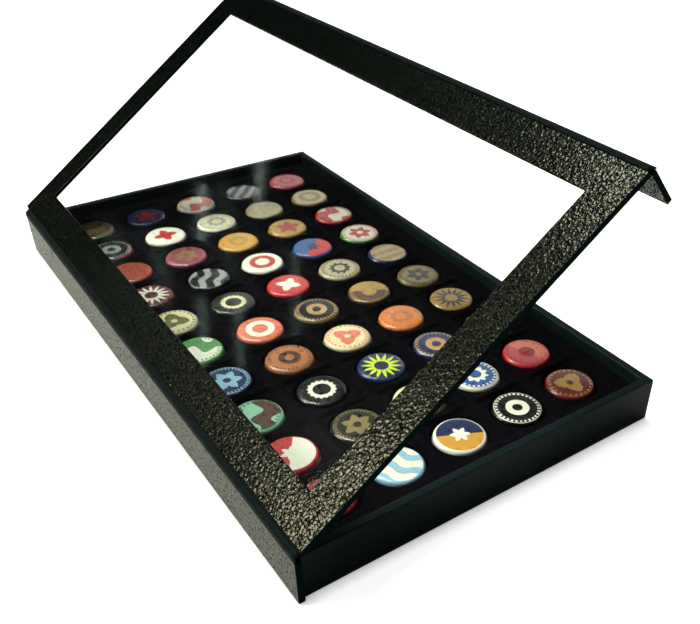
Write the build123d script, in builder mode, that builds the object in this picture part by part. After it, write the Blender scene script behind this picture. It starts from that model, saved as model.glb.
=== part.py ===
from build123d import *
from math import cos, radians, sin
import os

# Display case for fifty crown caps. A shallow board tray holds a velvet insert of
# ten by five cells. A book style cover is glued to the tray's back wall: spine,
# leatherette hinge, glazed lid, second leatherette hinge and closing flap.
# X runs along the case, +Y points to the spine and +Z is up. The origin is the
# centre of the tray's underside. The lid stands open, as on a table.

# Crown caps, lying with their tops up
cap_rows = 10
cap_columns = 5
cap_shoulder_diameter = 26.7
cap_flare = 1.35
cap_height = 6.2
cap_corner = 1.0
cap_metal = 0.3
cap_flutes = 21
cap_flute_radius = 1.9
cap_valley_beyond_shoulder = 0.25
seal_thickness = 0.5
seal_clearance = 0.35

# Cells of the insert: room round each cap, and the velvet dividers
cell_play_long = 2.5
cell_play_cross = 3.1
long_divider_thickness = 4.5
cross_divider_thickness = 2.5
divider_above_caps = 0.8
long_divider_round = 2.0
cross_divider_round = 1.1
slot_clearance = 0.2
border_end = 8.7
border_side = 9.95
border_round = 3.0

# Stack under the caps
base_paper_stock = 0.3
base_paper_inset = 0.5
floor_board = 2.0
pad_thickness = 9.7
velvet_stock = 0.6

# Tray walls
cover_stock = 0.35
wall_board = 3.85
rim_above_dividers = 6.1
cover_edge_round = 0.5

# Spine, glued to the back wall
spine_board_stock = 2.5
spine_beyond_tray = 1.9
spine_below_rim = 0.6
spine_turn_in = 8.0

# Lid: cover, outer board, a layer with the pane and its spacer, and lining
lid_open_angle = 35.0
lid_beyond_tray = 3.5
lid_board_stock = 1.15
glass_thickness = 1.15
glass_overlap = 6.0
glass_clearance = 0.3
window_margin_end = 18.65
window_margin_side = 18.9
lid_seat_gap = 0.3
hinge_axis_below_lid = 2.0
hinge_setback = 6.2
lining_window_margin = 1.0

# Flap, which covers the front wall when the case is shut
flap_angle = 83.8
flap_length = 22.2
flap_wall_gap = 0.3
flap_lid_gap = 0.3
fold_gap = 3.8
fold_axis_below_top = 1.0

# Leatherette hinges and hidden magnets
hinge_stock = 0.7
hinge_end_gap = 0.3
magnet_diameter = 8.0
magnet_thickness = 1.5
keeper_thickness = 1.0
magnet_spacing = 220.0
pocket_clearance = 0.1

os.makedirs("parts", exist_ok=True)


def save(name, builder):
    """Label a finished piece and write its STEP file."""
    builder.part.label = name
    export_step(builder.part, f"parts/{name}.step")


# Cell grid
cap_skirt_diameter = cap_shoulder_diameter + 2 * cap_flare
cell_long = cap_skirt_diameter + cell_play_long
cell_cross = cap_skirt_diameter + cell_play_cross
pitch_long = cell_long + cross_divider_thickness
pitch_cross = cell_cross + long_divider_thickness
field_length = cap_rows * pitch_long - cross_divider_thickness
field_width = cap_columns * pitch_cross - long_divider_thickness

# Tray outline
inner_length = field_length + 2 * border_end
inner_width = field_width + 2 * border_side
wall_thickness = wall_board + 2 * cover_stock
tray_length = inner_length + 2 * wall_thickness
tray_width = inner_width + 2 * wall_thickness

# Heights
pad_bottom = base_paper_stock + floor_board
velvet_bottom = pad_bottom + pad_thickness
liner_top = velvet_bottom + velvet_stock
divider_height = cap_height + divider_above_caps
divider_top = liner_top + divider_height
tray_height = divider_top + rim_above_dividers

# Lid hinge line and the lid's own plane: its y runs from the hinge edge outwards
# along the lid, its z out of the lid's upper face, and its origin is on the underside
spine_thickness = spine_board_stock + 2 * cover_stock
back_face = tray_width / 2
spine_face = back_face + spine_thickness
hinge_axis_z = tray_height + lid_seat_gap - hinge_axis_below_lid
lid_thickness = 2 * cover_stock + lid_board_stock + glass_thickness
lid_length = tray_length + 2 * lid_beyond_tray
lid_depth = spine_face - hinge_setback + tray_width / 2 + flap_wall_gap - flap_lid_gap
open_cos = cos(radians(lid_open_angle))
open_sin = sin(radians(lid_open_angle))
lid_plane = Plane(
    origin=(
        0,
        spine_face - hinge_setback * open_cos + hinge_axis_below_lid * open_sin,
        hinge_axis_z + hinge_setback * open_sin + hinge_axis_below_lid * open_cos,
    ),
    x_dir=(-1, 0, 0),
    z_dir=(0, open_sin, open_cos),
)

# Fold line and the flap's own plane, laid out as the lid's is. The fold axis lies
# so that the shut flap stands clear of the front wall and of the lid's edge.
fold_axis_out = lid_thickness - fold_axis_below_top + flap_lid_gap
fold_point = lid_plane.from_local_coords(
    Vector(0, lid_depth + fold_axis_out, lid_thickness - fold_axis_below_top)
)
flap_tilt = radians(lid_open_angle - flap_angle)
flap_along = Vector(0, -cos(flap_tilt), sin(flap_tilt))
flap_out = Vector(0, sin(flap_tilt), cos(flap_tilt))
flap_plane = Plane(
    origin=fold_point
    + flap_along * (fold_gap - fold_axis_out)
    - flap_out * (lid_thickness - fold_axis_below_top),
    x_dir=(-1, 0, 0),
    z_dir=flap_out,
)
print("tray", tray_length, tray_width, tray_height, "lid", lid_length, lid_depth, lid_thickness)
print("lid hinge axis y, z", spine_face, hinge_axis_z)
print("flap fold axis y, z", fold_point.Y, fold_point.Z)

# Base paper: the lowest face of the case
with BuildPart() as base_paper:
    with BuildSketch(Plane.XY):
        Rectangle(tray_length - 2 * base_paper_inset, tray_width - 2 * base_paper_inset)
    extrude(amount=base_paper_stock)
save("base_paper", base_paper)

# Floor board, between the walls
with BuildPart() as tray_floor:
    with BuildSketch(Plane.XY.offset(base_paper_stock)):
        Rectangle(inner_length, inner_width)
    extrude(amount=floor_board)
save("tray_floor", tray_floor)

# Wall boards: the long walls run through, the end walls stand between them
wall_height = tray_height - cover_stock - base_paper_stock
wall_middle_y = tray_width / 2 - wall_thickness / 2
wall_middle_x = tray_length / 2 - wall_thickness / 2
end_wall_length = tray_width - 2 * (cover_stock + wall_board)

# The shut flap's middle is where the magnets meet the keepers
closed_flap_top = tray_height + lid_seat_gap + lid_thickness - fold_axis_below_top
closed_flap_top -= fold_gap - fold_axis_out
magnet_height = closed_flap_top - flap_length / 2
with BuildPart() as front_wall:
    with BuildSketch(Plane.XY.offset(base_paper_stock)):
        with Locations((0, -wall_middle_y)):
            Rectangle(tray_length - 2 * cover_stock, wall_board)
    extrude(amount=wall_height)
    front_face = Plane.XZ.offset(tray_width / 2 - cover_stock)
    with BuildSketch(front_face):
        with Locations((0, magnet_height)):
            with GridLocations(magnet_spacing, 0, 2, 1):
                Circle(magnet_diameter / 2 + pocket_clearance)
    extrude(amount=-keeper_thickness - pocket_clearance, mode=Mode.SUBTRACT)
save("front_wall", front_wall)

with BuildPart() as wall_keepers:
    with BuildSketch(front_face):
        with Locations((0, magnet_height)):
            with GridLocations(magnet_spacing, 0, 2, 1):
                Circle(magnet_diameter / 2)
    extrude(amount=-keeper_thickness)
save("wall_keepers", wall_keepers)

with BuildPart() as back_wall:
    with BuildSketch(Plane.XY.offset(base_paper_stock)):
        with Locations((0, wall_middle_y)):
            Rectangle(tray_length - 2 * cover_stock, wall_board)
    extrude(amount=wall_height)
save("back_wall", back_wall)

for wall_name, side in (("near_end_wall", -1), ("far_end_wall", 1)):
    with BuildPart() as end_wall:
        with BuildSketch(Plane.XY.offset(base_paper_stock)):
            with Locations((side * wall_middle_x, 0)):
                Rectangle(wall_board, end_wall_length)
        extrude(amount=wall_height)
    save(wall_name, end_wall)

# Wall cover: leatherette over the outside, the rim and the inside of all four walls
with BuildPart() as wall_cover:
    with BuildSketch(Plane.XY.offset(base_paper_stock)):
        Rectangle(tray_length, tray_width)
        Rectangle(inner_length, inner_width, mode=Mode.SUBTRACT)
    extrude(amount=tray_height - base_paper_stock)
    rim_edges = wall_cover.faces().sort_by(Axis.Z)[-1].edges()
    fillet(rim_edges, cover_edge_round)
    with BuildSketch(Plane.XY.offset(base_paper_stock)):
        Rectangle(tray_length - 2 * cover_stock, tray_width - 2 * cover_stock)
        Rectangle(inner_length + 2 * cover_stock, inner_width + 2 * cover_stock, mode=Mode.SUBTRACT)
    extrude(amount=wall_height, mode=Mode.SUBTRACT)
save("wall_cover", wall_cover)

# Spine board, and its cover with turn-ins on the glued side
spine_length = tray_length + 2 * spine_beyond_tray
spine_height = tray_height - spine_below_rim - base_paper_stock
spine_middle_z = base_paper_stock + spine_height / 2
spine_plane = Plane(origin=(0, back_face, spine_middle_z), x_dir=(1, 0, 0), z_dir=(0, 1, 0))
with BuildPart() as spine_board:
    with BuildSketch(spine_plane.offset(cover_stock)):
        Rectangle(spine_length - 2 * cover_stock, spine_height - 2 * cover_stock)
    extrude(amount=spine_board_stock)
save("spine_board", spine_board)

with BuildPart() as spine_cover:
    with BuildSketch(spine_plane):
        Rectangle(spine_length, spine_height)
    extrude(amount=spine_thickness)
    fillet(spine_cover.faces().sort_by(Axis.Y)[-1].edges(), cover_edge_round)
    with BuildSketch(spine_plane.offset(cover_stock)):
        Rectangle(spine_length - 2 * cover_stock, spine_height - 2 * cover_stock)
    extrude(amount=spine_board_stock, mode=Mode.SUBTRACT)
    with BuildSketch(spine_plane):
        Rectangle(spine_length - 2 * spine_turn_in, spine_height - 2 * spine_turn_in)
    extrude(amount=cover_stock, mode=Mode.SUBTRACT)
save("spine_cover", spine_cover)

# Foam pad with a velvet sheet on it
with BuildPart() as foam_pad:
    with BuildSketch(Plane.XY.offset(pad_bottom)):
        Rectangle(inner_length, inner_width)
    extrude(amount=pad_thickness)
save("foam_pad", foam_pad)

with BuildPart() as velvet_floor:
    with BuildSketch(Plane.XY.offset(velvet_bottom)):
        Rectangle(inner_length, inner_width)
    extrude(amount=velvet_stock)
save("velvet_floor", velvet_floor)

# Padded velvet border strips, between the walls and the outer cells
for strip_name, side in (("border_strip_front", -1), ("border_strip_back", 1)):
    with BuildPart() as side_strip:
        with BuildSketch(Plane.XY.offset(liner_top)):
            with Locations((0, side * (inner_width / 2 - border_side / 2))):
                Rectangle(inner_length, border_side)
        extrude(amount=divider_height)
        top_edges = side_strip.faces().sort_by(Axis.Z)[-1].edges().filter_by(Axis.X)
        fillet(top_edges.sort_by(Axis.Y)[0 if side > 0 else -1], border_round)
    save(strip_name, side_strip)

for strip_name, side in (("border_strip_near", -1), ("border_strip_far", 1)):
    with BuildPart() as end_strip:
        with BuildSketch(Plane.XY.offset(liner_top)):
            with Locations((side * (inner_length / 2 - border_end / 2), 0)):
                Rectangle(border_end, field_width)
        extrude(amount=divider_height)
        top_edges = end_strip.faces().sort_by(Axis.Z)[-1].edges().filter_by(Axis.Y)
        fillet(top_edges.sort_by(Axis.X)[0 if side > 0 else -1], border_round)
    save(strip_name, end_strip)

# Dividers, halved into each other: the long ones are slotted from above, the cross
# ones from below, and both have a rounded top
half_height = divider_height / 2
for number in range(1, cap_columns):
    divider_y = (number - cap_columns / 2) * pitch_cross
    with BuildPart() as long_divider:
        with BuildSketch(Plane.XY.offset(liner_top)):
            with Locations((0, divider_y)):
                Rectangle(field_length, long_divider_thickness)
        extrude(amount=divider_height)
        top_face = long_divider.faces().sort_by(Axis.Z)[-1]
        fillet(top_face.edges().filter_by(Axis.X), long_divider_round)
        with BuildSketch(Plane.XY.offset(liner_top + half_height - slot_clearance)):
            with Locations((0, divider_y)):
                with GridLocations(pitch_long, 0, cap_rows - 1, 1):
                    Rectangle(cross_divider_thickness + slot_clearance, 2 * long_divider_thickness)
        extrude(amount=divider_height, mode=Mode.SUBTRACT)
    save(f"long_divider_{number}", long_divider)

for number in range(1, cap_rows):
    divider_x = (number - cap_rows / 2) * pitch_long
    with BuildPart() as cross_divider:
        with BuildSketch(Plane.XY.offset(liner_top)):
            with Locations((divider_x, 0)):
                Rectangle(cross_divider_thickness, field_width)
        extrude(amount=divider_height)
        top_face = cross_divider.faces().sort_by(Axis.Z)[-1]
        fillet(top_face.edges().filter_by(Axis.Y), cross_divider_round)
        with BuildSketch(Plane.XY.offset(liner_top)):
            with Locations((divider_x, 0)):
                with GridLocations(0, pitch_cross, 1, cap_columns - 1):
                    Rectangle(2 * cross_divider_thickness, long_divider_thickness + slot_clearance)
        extrude(amount=half_height, mode=Mode.SUBTRACT)
    save(f"cross_divider_{number}", cross_divider)

# One crown cap: flared skirt, rounded shoulder, flutes that fade out under the
# shoulder, and a plain round hollow
skirt_radius = cap_skirt_diameter / 2
shoulder_radius = cap_shoulder_diameter / 2
shoulder_height = cap_height - cap_corner
top_radius = shoulder_radius - cap_corner
valley_radius = shoulder_radius + cap_valley_beyond_shoulder
hollow_radius = valley_radius - cap_metal
hollow_height = cap_height - cap_metal
flute_fade = 1 - cap_valley_beyond_shoulder / cap_flare
flute_height = shoulder_height * flute_fade
with BuildPart() as crown_cap:
    with BuildSketch(Plane.XZ):
        with BuildLine():
            Polyline((0, cap_height), (0, 0), (skirt_radius, 0), (shoulder_radius, shoulder_height))
            RadiusArc((shoulder_radius, shoulder_height), (top_radius, cap_height), -cap_corner)
            Line((top_radius, cap_height), (0, cap_height))
        make_face()
    revolve(axis=Axis.Z)
    with BuildSketch():
        with PolarLocations(valley_radius + cap_flute_radius, cap_flutes):
            Circle(cap_flute_radius)
    extrude(amount=cap_height, mode=Mode.SUBTRACT)
    with BuildSketch(Plane.XZ):
        with BuildLine():
            Polyline((0, hollow_height), (0, 0), (hollow_radius, 0), (hollow_radius, flute_height))
            Line((hollow_radius, flute_height), (shoulder_radius - cap_metal, shoulder_height))
            RadiusArc(
                (shoulder_radius - cap_metal, shoulder_height),
                (top_radius, hollow_height),
                cap_metal - cap_corner,
            )
            Line((top_radius, hollow_height), (0, hollow_height))
        make_face()
    revolve(axis=Axis.Z, mode=Mode.SUBTRACT)

# The caps stand on the velvet, one in each cell: one node for each row of five
for row in range(cap_rows):
    row_x = (row - (cap_rows - 1) / 2) * pitch_long
    with BuildPart() as cap_row:
        with Locations((row_x, 0, liner_top)):
            with GridLocations(0, pitch_cross, 1, cap_columns):
                add(crown_cap.part)
    save(f"cap_row_{row + 1}", cap_row)

# Seal discs inside the caps
with BuildPart() as cap_seals:
    with BuildSketch(Plane.XY.offset(liner_top + hollow_height - seal_thickness)):
        with GridLocations(pitch_long, pitch_cross, cap_rows, cap_columns):
            Circle(top_radius - seal_clearance)
    extrude(amount=seal_thickness)
save("cap_seals", cap_seals)

# Lid layers, from the underside up: lining, pane with its spacer, board, cover
lid_middle = lid_depth / 2
board_length = lid_length - 2 * cover_stock
board_depth = lid_depth - 2 * cover_stock
window_length = lid_length - 2 * window_margin_end
window_depth = lid_depth - 2 * window_margin_side
pane_length = window_length + 2 * glass_overlap
pane_depth = window_depth + 2 * glass_overlap
board_bottom = cover_stock + glass_thickness
with BuildPart() as lid_lining:
    with BuildSketch(lid_plane):
        with Locations((0, lid_middle)):
            Rectangle(board_length, board_depth)
            Rectangle(
                window_length + 2 * lining_window_margin,
                window_depth + 2 * lining_window_margin,
                mode=Mode.SUBTRACT,
            )
    extrude(amount=cover_stock)
save("lid_lining", lid_lining)

with BuildPart() as lid_glass:
    with BuildSketch(lid_plane.offset(cover_stock)):
        with Locations((0, lid_middle)):
            Rectangle(pane_length, pane_depth)
    extrude(amount=glass_thickness)
save("lid_glass", lid_glass)

with BuildPart() as lid_spacer:
    with BuildSketch(lid_plane.offset(cover_stock)):
        with Locations((0, lid_middle)):
            Rectangle(board_length, board_depth)
            Rectangle(
                pane_length + 2 * glass_clearance,
                pane_depth + 2 * glass_clearance,
                mode=Mode.SUBTRACT,
            )
    extrude(amount=glass_thickness)
save("lid_spacer", lid_spacer)

with BuildPart() as lid_board:
    with BuildSketch(lid_plane.offset(board_bottom)):
        with Locations((0, lid_middle)):
            Rectangle(board_length, board_depth)
            Rectangle(
                window_length + 2 * cover_stock,
                window_depth + 2 * cover_stock,
                mode=Mode.SUBTRACT,
            )
    extrude(amount=lid_board_stock)
save("lid_board", lid_board)

with BuildPart() as lid_cover:
    with BuildSketch(lid_plane):
        with Locations((0, lid_middle)):
            Rectangle(lid_length, lid_depth)
            Rectangle(window_length, window_depth, mode=Mode.SUBTRACT)
    extrude(amount=lid_thickness)
    fillet(lid_cover.faces().sort_by(Axis(lid_plane.origin, lid_plane.z_dir))[-1].edges(), cover_edge_round)
    with BuildSketch(lid_plane):
        with Locations((0, lid_middle)):
            Rectangle(board_length, board_depth)
    extrude(amount=board_bottom, mode=Mode.SUBTRACT)
    with BuildSketch(lid_plane.offset(board_bottom)):
        with Locations((0, lid_middle)):
            Rectangle(board_length, board_depth)
            Rectangle(
                window_length + 2 * cover_stock,
                window_depth + 2 * cover_stock,
                mode=Mode.SUBTRACT,
            )
    extrude(amount=lid_board_stock, mode=Mode.SUBTRACT)
save("lid_cover", lid_cover)

# Flap: board with two magnets let into its inner face, cover and lining
flap_middle = flap_length / 2
flap_board_stock = lid_thickness - 2 * cover_stock
with BuildPart() as flap_board:
    with BuildSketch(flap_plane.offset(cover_stock)):
        with Locations((0, flap_middle)):
            Rectangle(board_length, flap_length - 2 * cover_stock)
    extrude(amount=flap_board_stock)
    with BuildSketch(flap_plane.offset(cover_stock)):
        with Locations((0, flap_middle)):
            with GridLocations(magnet_spacing, 0, 2, 1):
                Circle(magnet_diameter / 2 + pocket_clearance)
    extrude(amount=magnet_thickness + pocket_clearance, mode=Mode.SUBTRACT)
save("flap_board", flap_board)

with BuildPart() as flap_magnets:
    with BuildSketch(flap_plane.offset(cover_stock)):
        with Locations((0, flap_middle)):
            with GridLocations(magnet_spacing, 0, 2, 1):
                Circle(magnet_diameter / 2)
    extrude(amount=magnet_thickness)
save("flap_magnets", flap_magnets)

with BuildPart() as flap_lining:
    with BuildSketch(flap_plane):
        with Locations((0, flap_middle)):
            Rectangle(board_length, flap_length - 2 * cover_stock)
    extrude(amount=cover_stock)
save("flap_lining", flap_lining)

with BuildPart() as flap_cover:
    with BuildSketch(flap_plane):
        with Locations((0, flap_middle)):
            Rectangle(lid_length, flap_length)
    extrude(amount=lid_thickness)
    fillet(flap_cover.faces().sort_by(Axis(flap_plane.origin, flap_out))[-1].edges(), cover_edge_round)
    with BuildSketch(flap_plane):
        with Locations((0, flap_middle)):
            Rectangle(board_length, flap_length - 2 * cover_stock)
    extrude(amount=cover_stock + flap_board_stock, mode=Mode.SUBTRACT)
save("flap_cover", flap_cover)

# Hinge strips: the leatherette between spine and lid, and between lid and flap,
# each drawn across the case, with its two ends along the edges that it joins
spine_corner = Vector(0, spine_face, tray_height - spine_below_rim)
lid_out = lid_plane.z_dir
lid_corner = lid_plane.from_local_coords(Vector(0, -hinge_end_gap, lid_thickness))
with BuildPart() as lid_hinge_strip:
    with BuildSketch(Plane.YZ):
        with BuildLine():
            Polyline(
                (spine_corner.Y, spine_corner.Z),
                (lid_corner.Y, lid_corner.Z),
                (lid_corner.Y - hinge_stock * lid_out.Y, lid_corner.Z - hinge_stock * lid_out.Z),
                (spine_corner.Y - hinge_stock, spine_corner.Z),
                close=True,
            )
        make_face()
    extrude(amount=spine_length / 2, both=True)
save("lid_hinge_strip", lid_hinge_strip)

lid_edge = lid_plane.from_local_coords(Vector(0, lid_depth, lid_thickness))
flap_edge = flap_plane.from_local_coords(Vector(0, -hinge_end_gap, lid_thickness))
with BuildPart() as flap_hinge_strip:
    with BuildSketch(Plane.YZ):
        with BuildLine():
            Polyline(
                (lid_edge.Y, lid_edge.Z),
                (flap_edge.Y, flap_edge.Z),
                (flap_edge.Y - hinge_stock * flap_out.Y, flap_edge.Z - hinge_stock * flap_out.Z),
                (lid_edge.Y - hinge_stock * lid_out.Y, lid_edge.Z - hinge_stock * lid_out.Z),
                close=True,
            )
        make_face()
    extrude(amount=lid_length / 2, both=True)
save("flap_hinge_strip", flap_hinge_strip)
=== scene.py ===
from math import cos, pi, radians, sin, tau

import bmesh
import bpy
import numpy as np
from bpy.props import FloatProperty, FloatVectorProperty, IntProperty, PointerProperty
from bpy.types import Operator, Panel, PropertyGroup
from mathutils import Matrix, Vector, noise


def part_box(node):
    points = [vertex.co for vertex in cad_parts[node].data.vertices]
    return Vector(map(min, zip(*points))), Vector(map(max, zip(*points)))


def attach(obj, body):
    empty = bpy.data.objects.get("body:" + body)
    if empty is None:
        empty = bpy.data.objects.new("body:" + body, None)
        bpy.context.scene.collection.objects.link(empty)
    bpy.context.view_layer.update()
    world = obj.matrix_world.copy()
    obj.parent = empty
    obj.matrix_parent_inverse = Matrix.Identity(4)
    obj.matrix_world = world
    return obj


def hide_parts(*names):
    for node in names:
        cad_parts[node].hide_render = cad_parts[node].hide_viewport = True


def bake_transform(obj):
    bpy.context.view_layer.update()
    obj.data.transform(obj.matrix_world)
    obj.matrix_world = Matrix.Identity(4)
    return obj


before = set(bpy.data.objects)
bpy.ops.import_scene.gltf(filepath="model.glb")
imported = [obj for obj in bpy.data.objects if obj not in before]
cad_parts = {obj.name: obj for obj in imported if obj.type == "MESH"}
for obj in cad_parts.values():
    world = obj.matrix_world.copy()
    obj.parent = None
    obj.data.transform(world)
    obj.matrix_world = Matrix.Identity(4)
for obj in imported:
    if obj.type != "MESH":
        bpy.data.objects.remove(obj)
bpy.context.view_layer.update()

bl_info = {
    "name": "Bottle Cap Display Case",
    "version": (1, 0, 0),
    "blender": (4, 5, 0),
    "location": "View3D > Sidebar > Display Case",
    "description": "Dresses a glazed display case, its velvet insert and its fifty crown caps",
    "category": "Add Mesh",
}

MM = 0.001

# The tray and its insert, read from the frame
TRAY_LOW, TRAY_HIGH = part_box("wall_cover")
INSERT_LOW, INSERT_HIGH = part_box("velvet_floor")
WALL_THICKNESS = TRAY_HIGH.x - INSERT_HIGH.x
DIVIDER_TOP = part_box("cross_divider_1")[1].z
CAP_ROWS = sum(name.startswith("cap_row_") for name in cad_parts)
CAP_COLUMNS = 5
FIRST_ROW_LOW, FIRST_ROW_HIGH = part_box("cap_row_1")
SKIRT_RADIUS = (FIRST_ROW_HIGH.x - FIRST_ROW_LOW.x) / 2
CAP_HEIGHT = FIRST_ROW_HIGH.z - FIRST_ROW_LOW.z
FIRST_CAP = FIRST_ROW_LOW + Vector((SKIRT_RADIUS, SKIRT_RADIUS, 0))
PITCH_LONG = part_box("cap_row_2")[0].x - FIRST_ROW_LOW.x
PITCH_CROSS = (FIRST_ROW_HIGH.y - FIRST_ROW_LOW.y - 2 * SKIRT_RADIUS) / (CAP_COLUMNS - 1)

# How far the hinge strips stand out at even steps from edge to edge, in mm: the first
# runs on up from the spine and then folds in, and the second sags into one crease
LID_STRIP_BOW = (-0.05, 0.35, 0.65, 0.75, 0.2, -0.9, -0.95, -0.05)
FLAP_STRIP_BOW = (-0.05, -0.9, -1.1, -0.5, -0.15, -0.05)

# The camera that took the photograph, and the frame that it filled
CAMERA_PLACE = (-0.3908, 0.2004, 0.2835)
CAMERA_AIM = (0.63275, -0.47715, -0.60988)
CAMERA_RIGHT = (-0.58827, -0.80836, 0.02211)
CAMERA_LENS = 42.9
CAMERA_SHIFT = (-0.1062, 0.1107)

# Lamps, as degrees round from +X and up from the floor. Each tube also has a breadth, and
# all have one height. The lamp that stands for the pale wall behind the case has both.
SIDE_LAMP = (53, 38)
TOP_LAMP = (8, 64)
TUBE_LAMPS = (
    (29.6, 27.2, 5.4),
    (29.8, 29.9, 5.2),
    (26.3, 34.2, 6.4),
    (16.6, 31.2, 4.1),
    (19.5, 27.2, 4.0),
)
TUBE_HEIGHT = 0.6
BACK_LAMP = (-47, 27, 50, 18)
LAMP_DISTANCE = 3.0

# The lid's grain: the part of a pebble that its rounded flank takes, and the crumple of
# the cloth, in folds to a pebble and in crack depths
PEBBLE_FLANK = 0.16
CRUMPLE_FOLDS = 0.95
CRUMPLE_HEIGHT = 6.4

# How far from a crack a pebble's gloss starts, and over how much it grows, in pebbles
GLOSS_START = 0.01
GLOSS_SPREAD = 0.14

# How squarely a face looks along the case to be an end of the cover
END_FACING = 0.7

# The fine leatherette: the part of a grain that its flank takes, the glue's waves, their
# height in grain depths, and the painted shade of its cracks and painted highlight of its tops
FINE_FLANK = 0.12
GLUE_WAVE = 5 * MM
GLUE_WAVE_HEIGHT = 3.0
CRACK_SHADE = 0.4
TOP_SHADE = 1.3

# Velvet: the brushed patches, whose lighter pile is a painted sheen, and the height of the pile's tufts
BRUSHED_PATCH = 9 * MM
TUFT_HEIGHT = 0.12 * MM

# A cap's print, in parts of the shoulder radius: the sways of a wave across it, then how
# far inside the rim ring the thin line and the marks lie, and half their breadth
WAVE_SWAYS = 6.0
LINE_INSET, LINE_HALF = 0.03, 0.012
MARK_INSET, MARK_HALF = 0.115, 0.05

# Wrinkles of the walls' wrap: how full it lies, the share and the two lengths of its
# wrinkles, and how much a mitre sinks, as parts of the wrinkle's height
WRAP_FULLNESS = 0.55
WRINKLE_SHARE = 0.3
LONG_WRINKLE = 7 * MM
SHORT_WRINKLE = 2.3 * MM
MITRE_SINK = 1.2

# The wrap near a mitre: the distance from the corner, and how deep the seam is there
MITRE = ((0.0, 1.0), (0.35 * MM, 0.0), (0.8 * MM, -0.3), (1.6 * MM, 0.0))
MITRE_REACH = 3 * MM
WRAP_STEP = 3 * MM

# The hinge strips: how far their edges are tucked under, what bending leaves of their
# thickness, the mesh's steps across and along, and the height of their folds in mm
TUCK = 0.3 * MM
BENT_STOCK = 0.7
STRIP_STEPS = 16
STRIP_STEP = 2.2 * MM
LONG_FOLD, SHORT_FOLD = 0.22, 0.1

# The velvet's padding: its unevenness, how much of that sinks, how near a wall it dips,
# how square the rolls are, and how far a crossing reaches
UNEVEN_PATCH = 11 * MM
UNEVEN_SINK = 0.6
WALL_DIP = 2 * MM
ROLL_SQUARENESS = 2.2
CROSSING_REACH = 5 * MM

# Crown caps: how far the skirt's edge is turned in and up, how square its lobes are, the
# room under a cap, and how far it leans
EDGE_TURN = 0.08 * MM
EDGE_LIFT = 0.06 * MM
LOBE_SQUARENESS = 0.75
CAP_ROOM = 0.05 * MM
CAP_LEAN = radians(0.5)

# Printing inks of the crown caps
INKS = {
    "white": "DEDBD0",
    "cream": "D2C7A2",
    "tan": "B08A60",
    "beige": "A79A7C",
    "yellow": "C28E38",
    "lime": "C4D42C",
    "gold": "9C7B3A",
    "brass": "7E6E42",
    "orange": "CB7334",
    "copper": "A0633F",
    "rust": "98402E",
    "salmon": "CC6C56",
    "pink": "B4535E",
    "red": "B32A2C",
    "crimson": "8E1C26",
    "maroon": "5A1420",
    "magenta": "86304F",
    "brown": "4A2E20",
    "olive": "5C5A2C",
    "green": "4A8646",
    "mint": "86C2A4",
    "sky": "86B0CC",
    "blue": "284F8C",
    "navy": "16224C",
    "grey": "8A8E90",
    "charcoal": "1C1F22",
    "black": "08090B",
}

# Cap designs, in parts of the cap's shoulder radius. Each: the motif's size, dent and
# points; the stripes' frequency, waviness and share; then where the rim ring starts,
# the number of marks inside it and the radius of the motif's eye
DESIGNS = {
    "plain": ((0.0, 0.0, 1), (0.0, 0.0, 0.0), (0.93, 0, 0.0)),
    "target": ((0.62, 0.0, 1), (0.0, 0.0, 0.0), (0.90, 0, 0.34)),
    "marks": ((0.46, 0.0, 1), (0.0, 0.0, 0.0), (0.93, 30, 0.20)),
    "petals": ((0.62, 0.42, 6), (0.0, 0.0, 0.0), (0.91, 36, 0.16)),
    "clover": ((0.60, 0.55, 4), (0.0, 0.0, 0.0), (0.86, 0, 0.0)),
    "rosette": ((0.56, 0.30, 10), (0.0, 0.0, 0.0), (0.90, 26, 0.26)),
    "star": ((0.68, 0.60, 5), (0.0, 0.0, 0.0), (0.90, 0, 0.0)),
    "cog": ((0.60, 0.16, 16), (0.0, 0.0, 0.0), (0.94, 0, 0.36)),
    "rays": ((0.84, 0.62, 14), (0.0, 0.0, 0.0), (0.97, 0, 0.30)),
    "stripes": ((0.0, 0.0, 1), (11.0, 0.0, 0.5), (0.86, 0, 0.0)),
    "waves": ((0.0, 0.0, 1), (9.0, 0.10, 0.45), (0.90, 0, 0.0)),
    "band": ((0.34, 0.0, 1), (2.9, 0.0, 0.42), (0.92, 34, 0.0)),
    "halves": ((0.40, 0.50, 6), (1.0, 0.0, 0.5), (0.88, 0, 0.0)),
    "swell": ((0.0, 0.0, 1), (4.2, 0.22, 0.5), (0.90, 28, 0.0)),
    "trefoil": ((0.66, 0.46, 3), (0.0, 0.0, 0.0), (0.92, 24, 0.14)),
}

# A design's three parts, and where a cap's four inks go
DESIGN_PARTS = ("motif", "stripes", "rim")
INK_PARTS = ("ground", "ink", "accent", "edge")

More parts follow.
